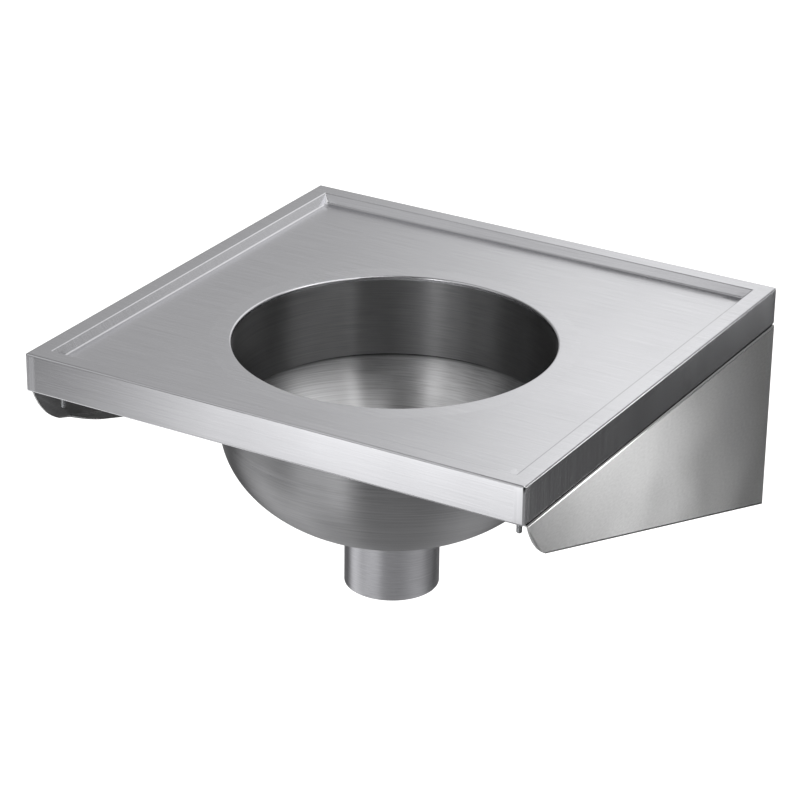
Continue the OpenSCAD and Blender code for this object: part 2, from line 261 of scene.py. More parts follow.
def brushedSteel(name, look):
    # 1.4301 stainless sheet: grey metal whose polishing belt left long fine scratches, so that
    # a reflection is drawn out across them; a handled surface adds soft cloudy patches.
    # A real scratch is about 0.1 mm wide. It is drawn 0.9 to 2.5 mm wide, so that it shows
    # at the picture's scale, and the noise's finer layers bring in the real width.
    mat, tree = emptyMaterial(name)
    cloud = (addNode(tree, "TexCoord"), "Object")
    fine = 1 / look["across"] / mm
    if "arcs" in look:
        # rings round the bowl's axis: the pattern reads radius and height, and drifts with the heading
        centred = addNode(tree, "Mapping", {"Vector": cloud, "Location": (-bowlAxis[0], -bowlAxis[1], 0)})
        cloud = (centred, 0)
        xyz = addNode(tree, "SeparateXYZ", {"Vector": cloud})
        flat = addNode(tree, "CombineXYZ", {"X": (xyz, "X"), "Y": (xyz, "Y")})
        radius = addNode(tree, "VectorMath", {0: (flat, 0)}, operation="LENGTH")
        heading = addNode(tree, "VectorMath", {0: (flat, 0)}, operation="NORMALIZE")
        ring = addNode(tree, "CombineXYZ", {"X": (radius, "Value"), "Y": (xyz, "Z")})
        close = addNode(tree, "VectorMath", {0: (ring, 0), 1: (fine,) * 3}, operation="MULTIPLY")
        lines = addNode(tree, "VectorMath", {0: (heading, 0), 1: (look["arcs"],) * 3, 2: (close, 0)},
                        operation="MULTIPLY_ADD")
    else:
        source = (addNode(tree, "UVMap", uv_map="flat"), 0) if look.get("uv") else cloud
        lines = addNode(tree, "Mapping", {"Vector": source, "Scale": (1 / look["along"] / mm, fine, fine)})
    scratch = addNode(tree, "TexNoise", {"Vector": (lines, 0), "Scale": 1.0, "Detail": 4.0, "Roughness": 0.65})
    patch = addNode(tree, "TexNoise", {"Vector": cloud, "Scale": 1 / mm / look["patch"], "Detail": 3.0,
                                       "Roughness": 0.5})
    bright = addNode(tree, "MapRange", {"Value": (scratch, 0), "From Min": 0.3, "From Max": 0.7})
    colour = mixColour(tree, (bright, 0), linearColour(look["dark"]), linearColour(look["light"]))
    if "paintedShade" in look:
        # painted shade: near-black is painted where the piece's seam field is 1, for the shade in the deck's
        # corner pit, in the gap behind the collar and at the outlet's weld
        shadeField = addNode(tree, "Attribute", attribute_name="shadeField", attribute_type="GEOMETRY")
        colour = mixColour(tree, (shadeField, "Fac"), colour, linearColour(look["paintedShade"]))
    rough = addNode(tree, "MapRange", {"Value": (scratch, 0), "From Min": 0.25, "From Max": 0.75,
                                       "To Min": look["roughness"] - look["spread"],
                                       "To Max": look["roughness"] + look["spread"]})
    smear = addNode(tree, "MapRange", {"Value": (patch, 0), "From Min": 0.3, "From Max": 0.7,
                                       "To Min": -look["smear"], "To Max": look["smear"]})
    total = addNode(tree, "Math", {0: (rough, 0), 1: (smear, 0)}, operation="ADD", use_clamp=True)
    relief = addNode(tree, "Bump", {"Height": (scratch, 0), "Strength": look["relief"], "Distance": 0.02 * mm})
    body = addNode(tree, "BsdfPrincipled", {"Base Color": colour, "Metallic": 1.0,
                                            "Roughness": (total, 0), "Normal": (relief, 0),
                                            "Anisotropic": look["drawn"], "Anisotropic Rotation": 0.25})
    if look["drawn"] > 0:
        # reflections are drawn out across the UV's first direction
        grain = addNode(tree, "Tangent", direction_type="UV_MAP", uv_map="flat")
        tree.links.new(grain.outputs[0], body.inputs["Tangent"])
    addNode(tree, "OutputMaterial", {"Surface": (body, 0)})
    return mat


def rubber(name, look):
    # black EPDM strip: matt, slightly bloomed
    mat, tree = emptyMaterial(name)
    place = addNode(tree, "TexCoord")
    grain = addNode(tree, "TexNoise", {"Vector": (place, "Object"), "Scale": 1 / mm / look["grain"],
                                       "Detail": 3.0})
    colour = mixColour(tree, (grain, 0), linearColour(look["dark"]), linearColour(look["light"]))
    relief = addNode(tree, "Bump", {"Height": (grain, 0), "Strength": 0.3, "Distance": 0.1 * mm})
    body = addNode(tree, "BsdfPrincipled", {"Base Color": colour, "Roughness": look["roughness"],
                                            "Normal": (relief, 0)})
    addNode(tree, "OutputMaterial", {"Surface": (body, 0)})
    return mat


# along and across: a scratch's length and width; arcs: how fast the rings change with the heading;
# patch: size of the cloudy patches; spread and smear: what scratches and patches add to the roughness;
# drawn: how far a reflection is drawn out
# painted shade: the deck's near-black colour is painted on a spot at its front right corner, for the shade of a
# pit
deckSteel = brushedSteel("deckSheetBrushed", {
    "uv": True, "along": 90, "across": 1.4, "patch": 90, "dark": "#C2C2C5", "light": "#D2D2D5",
    "roughness": 0.22, "spread": 0.04, "smear": 0.02, "relief": 0.3, "drawn": 0.7, "paintedShade": "#101010"})
ringSteel = brushedSteel("ringSheetDressed", {
    "uv": True, "along": 60, "across": 1.4, "patch": 70, "dark": "#C4C4C7", "light": "#D4D4D7",
    "roughness": 0.24, "spread": 0.03, "smear": 0.02, "relief": 0.15, "drawn": 0.6})
# painted shade: the collar's steel is set far darker than the rest, for the shade inside the bowl's opening
collarShadedSteel = brushedSteel("collarRolledSatinShaded", {
    "across": 1.5, "arcs": 4.0, "patch": 60, "dark": "#848485", "light": "#969697",
    "roughness": 0.33, "spread": 0.04, "smear": 0.03, "relief": 0.2, "drawn": 0.98})
# painted shade: the bowl's near-black colour is painted in the gap behind the collar
bowlSteel = brushedSteel("bowlSpunSatin", {
    "across": 1.8, "arcs": 5.0, "patch": 60, "dark": "#B6B6B7", "light": "#E2E2E3",
    "roughness": 0.36, "spread": 0.06, "smear": 0.03, "relief": 0.5, "drawn": 0.97, "paintedShade": "#262626"})
outsideSteel = brushedSteel("bowlOutsideSatin", {
    "across": 1.8, "arcs": 3.0, "patch": 60, "dark": "#9A9A9C", "light": "#B8B8BA",
    "roughness": 0.38, "spread": 0.05, "smear": 0.02, "relief": 0.4, "drawn": 0.97})
pipeSteel = brushedSteel("pipeDrawnSatin", {
    "across": 1.3, "arcs": 3.0, "patch": 40, "dark": "#B0B0B4", "light": "#CACACE",
    "roughness": 0.34, "spread": 0.04, "smear": 0.03, "relief": 0.3, "drawn": 0.7})
tubeSteel = brushedSteel("tubeDrawnSatin", {
    "uv": True, "along": 60, "across": 0.9, "patch": 40, "dark": "#BCBEC0", "light": "#CBCCCE",
    "roughness": 0.30, "spread": 0.04, "smear": 0.03, "relief": 0.1, "drawn": 0.5})
bracketSteel = brushedSteel("bracketSheetBrushed", {
    "uv": True, "along": 6, "across": 1.6, "patch": 70, "dark": "#C2C2C2", "light": "#D8D8D8",
    "roughness": 0.32, "spread": 0.01, "smear": 0.03, "relief": 0.2, "drawn": 1.0})
# painted highlight: the bend's steel is lighter than the bracket's; its lower roughness is from rubbing
bendSheenSteel = brushedSteel("bracketBendRubbedSheen", {
    "uv": True, "along": 40, "across": 1.2, "patch": 70, "dark": "#CECECE", "light": "#DCDCDC",
    "roughness": 0.13, "spread": 0.02, "smear": 0.01, "relief": 0.05, "drawn": 0.2})
railSteel = brushedSteel("railSheetMill", {
    "along": 5, "across": 2.5, "patch": 50, "dark": "#B4B6B7", "light": "#C0C2C3",
    "roughness": 0.36, "spread": 0.03, "smear": 0.05, "relief": 0.05, "drawn": 0.0})
fixingSteel = brushedSteel("fixingTurnedA2", {
    "along": 1.5, "across": 1.5, "patch": 8, "dark": "#A9ABAD", "light": "#BDBEC0",
    "roughness": 0.28, "spread": 0.04, "smear": 0.05, "relief": 0.05, "drawn": 0.0})
# painted shade: the weld's near-black colour is painted on the bead round the outlet's root
weldSteel = brushedSteel("weldTigPickled", {
    "along": 2, "across": 2, "patch": 12, "dark": "#A5A5A4", "light": "#BDBDBC",
    "roughness": 0.38, "spread": 0.06, "smear": 0.06, "relief": 0.2, "drawn": 0.0, "paintedShade": "#1C1B1A"})
packingRubber = rubber("packingEpdmBlack", {
    "grain": 0.8, "dark": "#141414", "light": "#1F1F1E", "roughness": 0.75})
print("materials made")

# deck

deck = {
    "width": 600, "front": -592, "rear": -2, "rim": 156, "lip": 112,
    "sheet": 1.5, "bend": 2.5, "corner": 2.5, "rimWidth": 20, "run": 6.5, "depth": 10,
    "rimBend": 2.0, "footBend": 3.0, "lipWidth": 13, "lipEdge": 0.25, "cornerAtRim": 0.3, "cornerAtFoot": 5.0,
    "underRim": 0.3, "underFoot": 0.7,      # the underside's corners move out to keep the slope's thickness
    "footStrip": 12, "hole": 200, "sideSteps": 64, "cornerSteps": 12, "arcSteps": 8, "longest": 6,
    "floorRings": 13, "apronReach": 0.1,
    # place, size and fall-off of the painted shade spot at the front right corner
    "pitShade": (299.2, -591.2, 153.9), "pitShadeSize": 1.1, "pitShadeDepth": 1.6,
}
deck["floor"] = deck["rim"] - deck["depth"]
deck["midY"] = (deck["rear"] + deck["front"]) / 2
deck["halfX"], deck["halfY"] = deck["width"] / 2, (deck["rear"] - deck["front"]) / 2


def outlineRings(inset, radius):
    # a rectangle with rounded corners for each inset and corner radius, sides +X, +Y, -X, -Y in turn
    halfX, halfY = deck["halfX"] - inset[:, None], deck["halfY"] - inset[:, None]
    r = radius[:, None]
    s = np.linspace(-1, 1, deck["sideSteps"], endpoint=False)
    q = np.linspace(0, np.pi / 2, deck["cornerSteps"], endpoint=False)
    parts = []
    for k in range(4):
        n = np.round([math.cos(k * math.pi / 2), math.sin(k * math.pi / 2)])
        t = np.array([-n[1], n[0]])
        deep, wide = (halfX, halfY) if k % 2 == 0 else (halfY, halfX)
        out = np.concatenate([deep + 0 * s, deep - r + r * np.cos(q)], 1)
        way = np.concatenate([(wide - r) * s, wide - r + r * np.sin(q)], 1)
        parts.append(out[..., None] * n + way[..., None] * t)
    rings = np.concatenate(parts, 1)
    rings[..., 1] += deck["midY"]
    return rings


def deckProfile():
    # folded sheet seen in section: inset from the outline, height, corner radius and unrolled length
    t, rim, lip, floor = deck["sheet"], deck["rim"], deck["lip"], deck["floor"]
    foot = deck["rimWidth"] + deck["run"]
    start = foot + deck["footStrip"]
    top = [(start, floor), (foot, floor), (deck["rimWidth"], rim), (0, rim), (0, lip), (deck["lipWidth"], lip)]
    under = [(deck["lipWidth"], lip + t), (t, lip + t), (t, rim - t),
             (deck["rimWidth"] + deck["underRim"], rim - t), (foot + deck["underFoot"], floor - t),
             (start, floor - t)]
    bends = [0, deck["footBend"], deck["rimBend"], deck["bend"], deck["bend"], deck["lipEdge"],
             deck["lipEdge"], deck["bend"] - t, deck["bend"] - t, deck["rimBend"] - t, deck["footBend"] + t, 0]
    path = refine(filletPath(top + under, bends, deck["arcSteps"]), deck["longest"], closed=False)
    d, z = path[:, 0], path[:, 1]
    blend = np.clip((d - deck["rimWidth"]) / deck["run"], 0, 1)
    radius = np.where(d > deck["rimWidth"],
                      deck["cornerAtRim"] + blend * (deck["cornerAtFoot"] - deck["cornerAtRim"]),
                      np.maximum(deck["corner"] - d, deck["cornerAtRim"]))
    return d, z, radius, pathLength(path) - start


def buildDeck():
    # rings of the folded profile, closed across the flat floor by rings that turn into the hole's circle:
    # floor point = ring * w + hole * (1 - w)
    d, z, radius, unrolled = deckProfile()
    rings = outlineRings(d, radius)
    middle = np.array(bowlAxis) / mm
    circle = rings[0] - middle
    angle = np.arctan2(circle[:, 1], circle[:, 0])
    hole = middle + deck["hole"] * np.stack([np.cos(angle), np.sin(angle)], -1)
    inner = deck["floorRings"]
    w = np.linspace(0, 1, inner + 1)[:, None, None]
    floor = rings[0] * w + hole * (1 - w)
    shape = np.concatenate([floor[:-1], rings, floor[::-1][1:]])
    height = np.concatenate([np.full(inner, deck["floor"]), z, np.full(inner, deck["floor"] - deck["sheet"])])
    points = np.concatenate([shape, np.broadcast_to(height[:, None, None], shape.shape[:2] + (1,))], -1) * mm
    rows, cols = shape.shape[:2]
    row, col = gridQuads(rows, cols, True, True, flip=True)
    # flat-sheet coordinates: each side lies as it did before it was folded
    sideCells = deck["sideSteps"] + deck["cornerSteps"]
    side = (col[:, :1] + deck["cornerSteps"] // 2) // sideCells % 4
    spread = np.concatenate([np.zeros(inner), unrolled, np.zeros(inner)])[row % rows]
    onFloor = np.concatenate([np.ones(inner, bool), np.zeros(len(z), bool), np.ones(inner, bool)])
    flat = onFloor[row % rows].any(1, keepdims=True)
    x, y = shape[row % rows, col % cols, 0], shape[row % rows, col % cols, 1] - deck["midY"]
    u = np.where(side % 2 == 0, np.where(side == 0, 1, -1) * (deck["halfX"] + spread), x)
    v = np.where(side % 2 == 1, np.where(side == 1, 1, -1) * (deck["halfY"] + spread), y)
    u, v = np.where(flat, x, u), np.where(flat, y, v)
    # the corner welds of the aprons are ground upright, so the grain turns there
    cell = col[:, :1] % sideCells
    low = height[row % rows].max(1, keepdims=True) < deck["rim"] - deck["bend"] + deck["apronReach"]
    ground = ((cell == 0) | (cell >= deck["sideSteps"] - 1)) & low & ~flat
    u, v = np.where(ground, v, u), np.where(ground, u, v)
    # painted shade: a near-black spot is painted where the weld ends at the front right corner, for the shade
    # of a pit that is not built
    far = np.linalg.norm(points.reshape(-1, 3) / mm - np.array(deck["pitShade"]), axis=1)
    pitShade = np.clip(deck["pitShadeDepth"] - far / deck["pitShadeSize"], 0, 1)
    quads = gridPoints(row, col, rows, cols)
    piece = putMesh("deckPanel", points, quads, np.stack([u, v], -1) * mm, {"shadeField": pitShade})
    evenNormals(piece)
    dress(piece, deckSteel, "deck_steel", "deck_panel")


buildDeck()
print("deck built")

# bowl: ring, collar, wall, dish, outlet

bowl = {
    "opening": 176, "inside": 188.5, "outside": 190, "outlet": 53, "bore": 51.5,    # radii
    "sheet": 1.5, "floor": 146, "neck": 141.5, "wallLow": 49.3,
}
ring = {"outer": 200, "edge": 2.5, "arcSteps": 8, "longest": 5, "level": 0.95}


def buildRing():
    # section of the deck's dished-in opening: flat outside, a quarter round edge, then a short neck
    t, z = bowl["sheet"], bowl["floor"]
    path = filletPath([(bowl["opening"], bowl["neck"]), (bowl["opening"] + t, bowl["neck"]),
                       (bowl["opening"] + t, z - t), (ring["outer"], z - t), (ring["outer"], z),
                       (bowl["opening"], z)], [0, 0, ring["edge"] - t, 0, 0, ring["edge"]], ring["arcSteps"])
    piece = turned("openingRing", refine(path, ring["longest"]))
    # the flat part's grain runs like the deck's, along X
    mesh = piece.data
    level = np.repeat(np.abs(readField(mesh.polygons, "normal", 3)[:, 2]) > ring["level"], 4)[:, None]
    corners = readField(mesh.loops, "vertex_index", 1, int)[:, 0]
    places = readField(mesh.vertices, "co", 3)
    writeUv(mesh, np.where(level, places[corners, :2], readField(mesh.uv_layers["flat"].data, "uv", 2)))
    evenNormals(piece)
    dress(piece, ringSteel, "deck_steel", "opening_ring")


collar = {"low": 50.5, "edges": (0.3, 0.3, 0, 0), "arcSteps": 3, "longest": 8}


def buildCollar():
    # section: an upright strip of sheet with its lower edges broken
    near, far = bowl["opening"], bowl["opening"] + bowl["sheet"]
    corners = [(near, collar["low"]), (far, collar["low"]), (far, bowl["neck"]), (near, bowl["neck"])]
    path = filletPath(corners, collar["edges"], collar["arcSteps"])
    piece = turned("bowlCollar", refine(path, collar["longest"]))
    evenNormals(piece)
    dress(piece, collarShadedSteel, "bowl_steel", "bowl_collar")


dish = {
    "depth": 126.8, "steps": 72, "gapShade": 42, "gapShadeFade": 1.2,
    "lipStart": 0.7, "lip": ((0.1, 0.25), (-0.4, 0.9)),     # from the outlet's radius and the dish's low end
}


def ellipseArc(a, c, rEnd):
    # dish surface from the wall down to radius rEnd: r = a cos q, z = wall end - c sin q
    q = np.linspace(0, math.acos(rEnd / a), dish["steps"])
    return np.stack([a * np.cos(q), bowl["wallLow"] - c * np.sin(q)], -1)


def buildDish():
    # two ellipses, with a small rounded lip where the outlet meets them
    outer = ellipseArc(bowl["outside"], dish["depth"], bowl["outlet"] + dish["lipStart"])
    inner = ellipseArc(bowl["inside"], dish["depth"] - bowl["sheet"], bowl["bore"])
    lip = [(bowl["outlet"] + out, outer[-1, 1] + up) for out, up in dish["lip"]]
    lip.append((bowl["bore"], lip[-1][1]))
    path = np.concatenate([outer, lip, inner[::-1]])[::-1]
    # painted shade: the dish is painted near-black in the gap behind the collar, down to a line just under its
    # edge, for the shade there
    inside = np.arange(len(path)) < len(inner)
    gapShade = np.clip((path[:, 1] - dish["gapShade"]) / dish["gapShadeFade"], 0, 1) * inside
    piece = turned("bowlDish", path, {"shadeField": gapShade})
    evenNormals(piece)
    dress(piece, bowlSteel, "bowl_steel", "bowl_dish")
    secondMaterial(piece, outsideSteel, np.repeat(~inside, turnSteps))


wall = {
    "patchHalf": 12.0,      # degrees
    "patchSteps": 12, "patchRings": 9, "patchPower": 1.5, "steps": 160,
}
inlet = {
    "radius": 19, "bore": 17.5, "height": 82, "end": 235, "steps": 96,
    # points from the outer radius and the wall, from either radius and the free end, and inside
    "weld": ((3, 0), (2.9, 0.8), (2.2, 1.9), (1.2, 2.6), (0, 3.4)), "rings": (6, 16, 26, 36),
    "outerRim": ((0, -0.5), (-0.15, -0.15), (-0.5, 0)), "innerRim": ((0.4, 0), (0.1, -0.1), (0, -0.5)),
    "inside": (30, 15, 0), "weldEnd": 3.4,
    "rippleDepth": 0.28, "ripples": 22, "waver": 0.4, "wavers": 3, "ringLength": 4.0, "girth": 120,
}


def buildWall():
    # rolled wall as one sheet: a patch of rings that turn from the inlet's hole into a rectangle,
    # point = hole * (1 - w) + edge * w, and the rest of the cylinder beside it, bent by
    # x = r cos(u / r), y = r sin(u / r); the sheet's thickness is put on inwards
    r, low, high = bowl["outside"], bowl["wallLow"], bowl["floor"] - bowl["sheet"]
    half, n, rings = wall["patchHalf"], wall["patchSteps"], wall["patchRings"]
    e = np.linspace(0, 1, n, endpoint=False)
    edge = np.concatenate([
        np.stack([half + 0 * e, low + e * (high - low)], -1),
        np.stack([half - 2 * half * e, high + 0 * e], -1),
        np.stack([-half + 0 * e, high - e * (high - low)], -1),
        np.stack([-half + 2 * half * e, low + 0 * e], -1)])
    edge[:, 0] = np.radians(edge[:, 0]) * r
    middle = np.array([0, inlet["height"]])
    angle = np.arctan2(edge[:, 1] - middle[1], edge[:, 0])
    hole = middle + inlet["bore"] * np.stack([np.cos(angle), np.sin(angle)], -1)
    w = np.linspace(0, 1, rings)[:, None, None] ** wall["patchPower"]
    patch = hole * (1 - w) + edge * w
    patchQuads = gridPoints(*gridQuads(rings, len(edge), False, True), rings, len(edge))
    turns = np.radians(np.linspace(half, 360 - half, wall["steps"])) * r
    height = low + np.linspace(0, 1, n + 1) * (high - low)
    rest = np.stack(np.broadcast_arrays(turns, height[:, None]), -1)
    restQuads = gridPoints(*gridQuads(n + 1, wall["steps"], False, False), n + 1, wall["steps"])
    flat = np.concatenate([patch.reshape(-1, 2), rest.reshape(-1, 2)])
    quads = np.concatenate([patchQuads, restQuads + patch[..., 0].size])
    points = ringPoints(r, flat[:, 1], flat[:, 0] / r + math.pi / 2) * mm + np.array([*bowlAxis, 0])
    piece = putMesh("bowlWall", points, quads, flat[quads] * mm)
    closeSeams(piece)
    sheet = piece.modifiers.new("sheet", "SOLIDIFY")
    sheet.thickness = bowl["sheet"] * mm
    sheet.offset = -1
    sheet.material_offset = 1
    evenNormals(piece)
    dress(piece, outsideSteel, "bowl_steel", "bowl_wall")
    piece.data.materials.append(bowlSteel)


spigot = {"low": -146, "sunk": 0.6, "edges": (0.4, 0.6, 0, 0), "arcSteps": 4, "longest": 6}


def buildOutlet():
    # plain tube with a broken lower edge, sunk a little into the dish
    fall = dish["depth"] * math.sqrt(1 - (bowl["outlet"] / bowl["outside"]) ** 2)
    top = bowl["wallLow"] - fall + spigot["sunk"]
    corners = [(bowl["bore"], spigot["low"]), (bowl["outlet"], spigot["low"]),
               (bowl["outlet"], top), (bowl["bore"], top)]
    path = filletPath(corners, spigot["edges"], spigot["arcSteps"])
    piece = turned("outletSpigot", refine(path, spigot["longest"]))
    evenNormals(piece)
    dress(piece, pipeSteel, "pipe_steel", "outlet_spigot")


def buildInlet():
    # tube along +Y saddled on the wall: rings of radius r at distance y from the bowl's axis, the first
    # and last ones cut to the wall's cylinder, y = sqrt(wallR^2 - x^2); a rippled weld runs round its root
    wallR, out, bore, steps = bowl["outside"], inlet["radius"], inlet["bore"], inlet["steps"]
    end = inlet["end"] - wallR
    profile = [(out + wide, along) for wide, along in inlet["weld"]]
    profile += [(out, along) for along in inlet["rings"]]
    profile += [(out + wide, end + along) for wide, along in inlet["outerRim"]]
    profile += [(bore + wide, end + along) for wide, along in inlet["innerRim"]]
    profile += [(bore, along) for along in inlet["inside"]]
    profile = np.array(profile)
    a = fullTurn(steps)
    ripple = np.zeros((len(profile), 1))
    ripple[1:len(inlet["weld"]) - 1] = inlet["rippleDepth"]
    wave = np.abs(np.sin(a * inlet["ripples"] + inlet["waver"] * np.sin(inlet["wavers"] * a)))
    r = profile[:, :1] - ripple * wave
    x, z = r * np.cos(a), r * np.sin(a)
    share = np.clip(profile[:, 1:] / inlet["weldEnd"], 0, 1)
    y = np.sqrt(wallR * wallR - x * x) * (1 - share) + wallR * share + profile[:, 1:]
    points = np.stack([x, y + bowlAxis[1] / mm, z + inlet["height"]], -1) * mm
    row, col = gridQuads(len(profile), steps, True, True, flip=True)
    uv = np.stack([row * inlet["ringLength"], col / steps * inlet["girth"]], -1) * mm
    piece = putMesh("flushInlet", points, gridPoints(row, col, len(profile), steps), uv)
    evenNormals(piece)
    dress(piece, tubeSteel, "pipe_steel", "flush_inlet")


buildRing()
buildCollar()
buildWall()
buildDish()
buildOutlet()
buildInlet()
print("bowl built")

# brackets, rails and stiffeners: the frame's own solids, with their sheet's grain laid out flat


def sheetCopy(name, node):
    # a solid whose UV follows each face: the grain runs along Y on webs and flanges
    piece = nodeCopy(name, node)
    mesh = piece.data
    for layer in list(mesh.uv_layers):
        mesh.uv_layers.remove(layer)
    corners = readField(mesh.loops, "vertex_index", 1, int)[:, 0]
    places = readField(mesh.vertices, "co", 3)[corners].reshape(-1, 3, 3)
    facing = np.abs(np.cross(places[:, 1] - places[:, 0], places[:, 2] - places[:, 0]))
    axis = facing.argmax(1)[:, None]
    x, y, z = places[..., 0], places[..., 1], places[..., 2]
    writeUv(mesh, np.stack([np.where(axis == 1, x, y), np.where(axis == 2, x, z)], -1))
    mesh.polygons.foreach_set("use_smooth", np.full(len(mesh.polygons), True))
    mesh.update()
    evenNormals(piece)
    return piece


bends = {"least": 0.05, "mostY": 0.5}      # of a face's normal, for it to lie on the top bend
for side in ("left", "right"):
    bracket = sheetCopy(side + "BracketSheet", side + "_bracket")
    dress(bracket, bracketSteel, "bracket_steel", side + "_bracket")
    # the top bend, between web and top flange, is rubbed smooth, and its lighter colour is a painted highlight
    x, y, z = np.abs(readField(bracket.data.polygons, "normal", 3).T)
    secondMaterial(bracket, bendSheenSteel, (x > bends["least"]) & (z > bends["least"]) & (y < bends["mostY"]))
    dress(sheetCopy(side + "RailSheet", side + "_deck_rail"), railSteel, "rail_steel", side + "_deck_rail")
for end in ("front", "rear"):
    dress(sheetCopy(end + "HatSheet", end + "_stiffener"), railSteel, "rail_steel", end + "_stiffener")
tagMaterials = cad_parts["earth_tag"].data.materials
tagMaterials.clear()
tagMaterials.append(fixingSteel)

packing = {
    "low": 110, "high": 112, "face": 297, "bulge": 2.2, "reach": 0.1, "cuts": (-0.8, -0.45, 0, 0.45, 0.8),
}


def buildStrip(side):
    # the strip squeezed by the deck's weight: outer edge x = face + bulge (1 - v^4),
    # with v from -1 at the foot to 1 at the top
    piece = nodeCopy(side + "PackingSqueezed", side + "_packing_strip")
    mesh = piece.data
    middle, half = (packing["low"] + packing["high"]) / 2, (packing["high"] - packing["low"]) / 2
    work = bmesh.new()
    work.from_mesh(mesh)
    for v in packing["cuts"]:
        everything = work.verts[:] + work.edges[:] + work.faces[:]
        bmesh.ops.bisect_plane(work, geom=everything, plane_co=(0, 0, (middle + v * half) * mm),
                               plane_no=(0, 0, 1))
    work.to_mesh(mesh)
    work.free()
    places = readField(mesh.vertices, "co", 3)
    v = (places[:, 2] / mm - middle) / half
    outer = np.abs(places[:, 0]) > (packing["face"] - packing["reach"]) * mm
    places[:, 0] += np.sign(places[:, 0]) * outer * packing["bulge"] * np.clip(1 - v ** 4, 0, 1) * mm
    mesh.vertices.foreach_set("co", places.ravel())
    mesh.update()
    dress(piece, packingRubber, "packing_rubber", side + "_packing_strip")


for side in ("left", "right"):
    buildStrip(side)

# studs, washers and nuts

fixings = {
    "x": 277.5, "front": -558, "rear": -52,
    "stud": 3.0, "studTop": 112, "studEnd": 86, "pitch": 1.0, "thread": 0.4,
    "studSteps": 24, "pitchSteps": 8, "lead": 0.7, "runOut": 4, "tip": 0.86, "core": 1.2,
    "washerTop": 108, "washer": 1.6, "washerOut": 6.0, "washerIn": 3.2,
    "washerSteps": 48, "washerEdges": (0.2, 0.5, 0.3, 0.2), "washerArc": 4, "washerLongest": 1.0,
    "nut": 5.0, "flats": 10, "nutSteps": 96, "nutCone": 0.985, "coneRise": 1.73,
    "nutRings": (0, 0.12, 0.3, 0.5, 2), "nutMouth": 3.3, "nutBore": 2.75, "nutBevel": 0.5,
}


def atStuds(name, rings, closed, node):
    # the same turned or hexagonal rings at each of the four stud places
    places = [(sx * fixings["x"], y, 0) for sx in (-1, 1) for y in (fixings["front"], fixings["rear"])]
    rows, steps = rings.shape[:2]
    quads = gridPoints(*gridQuads(rows, steps, closed, True), rows, steps)
    points = np.concatenate([rings + np.array(place) for place in places])
    every = np.concatenate([quads + k * rows * steps for k in range(len(places))])
    piece = putMesh(name, points * mm, every)
    closeSeams(piece)
    dress(piece, fixingSteel, "fixing_steel", node)
    return piece


def buildStuds():
    # M6 thread: radius = r - depth * triangle(z / pitch - a / 2 pi), tapered at the free end
    # and closed by a disc
    a = fullTurn(fixings["studSteps"])
    top, end, pitch = fixings["studTop"], fixings["studEnd"], fixings["pitch"]
    z = np.linspace(top, end, int((top - end) / pitch * fixings["pitchSteps"]) + 1)
    phase = (z[:, None] / pitch - a / (2 * np.pi)) % 1
    cut = fixings["thread"] * (1 - np.abs(phase * 2 - 1))
    lead = np.clip((z - end) / fixings["lead"], 0, 1)[:, None]
    threaded = np.clip((top - z) / fixings["runOut"], 0, 1)[:, None]
    r = (fixings["stud"] - cut * threaded) * (fixings["tip"] + (1 - fixings["tip"]) * lead)
    r = np.concatenate([np.zeros((1, len(a))), r, np.full((1, len(a)), fixings["core"]), np.zeros((1, len(a)))])
    z = np.concatenate([[top], z, [end, end]])
    atStuds("deckStuds", ringPoints(r, z[:, None], a)[::-1], False, "deck_studs")


def buildWashers():
    # section: a rectangle with rounded edges, turned round each stud
    high, low = fixings["washerTop"], fixings["washerTop"] - fixings["washer"]
    corners = [(fixings["washerIn"], low), (fixings["washerOut"], low),
               (fixings["washerOut"], high), (fixings["washerIn"], high)]
    path = refine(filletPath(corners, fixings["washerEdges"], fixings["washerArc"]), fixings["washerLongest"])
    rings = ringPoints(path[:, :1], path[:, 1:], fullTurn(fixings["washerSteps"]))
    evenNormals(atStuds("studWashers", rings, True, "stud_washers"))


def buildNuts():
    # hexagon: radius = flat / cos(angle from the flat's middle), cut by a 30 degree cone at both ends
    a = fullTurn(fixings["nutSteps"])
    high = fixings["washerTop"] - fixings["washer"]
    low = high - fixings["nut"]
    flat = fixings["flats"] / 2
    hexagon = flat / np.cos((a + math.pi / 6) % (math.pi / 3) - math.pi / 6)
    ends, bevel = np.array(fixings["nutRings"]), fixings["nutBevel"]
    z = np.concatenate([[low], low + ends, high - ends[::-1], [high, high - bevel, low + bevel]])
    cone = flat * fixings["nutCone"] + np.minimum(z - low, high - z) * fixings["coneRise"]
    r = np.minimum(hexagon, cone[:, None])
    r[[0, -3]] = fixings["nutMouth"]
    r[-2:] = fixings["nutBore"]
    evenNormals(atStuds("studNuts", ringPoints(r, z[:, None], a), True, "stud_nuts"))


buildStuds()
buildWashers()
buildNuts()
print("brackets and fixings dressed")

# welds under the deck

welds = {
    "under": 144.5, "ripple": 1.8, "rippleDepth": 0.14, "steps": 2800,
    "fullness": 0.35, "sunk": 0.08, "legSteps": 7, "ridgeSteps": 9,
    "rootRadius": 200, "rootHalf": 2.2, "rootHeight": 0.7, "rootSunk": 0.2,
    "filletRadius": 190, "fillet": 2.6, "spigotAt": -72.3, "spigotLeg": 2.2, "spigotReach": 5, "spigotEvery": 4,
    "railEdge": 232.5, "stitch": 28, "stitchLeg": 1.6, "stitchSteps": 70,
    "stitchAt": (-545, -445, -345, -245, -145, -50),
}


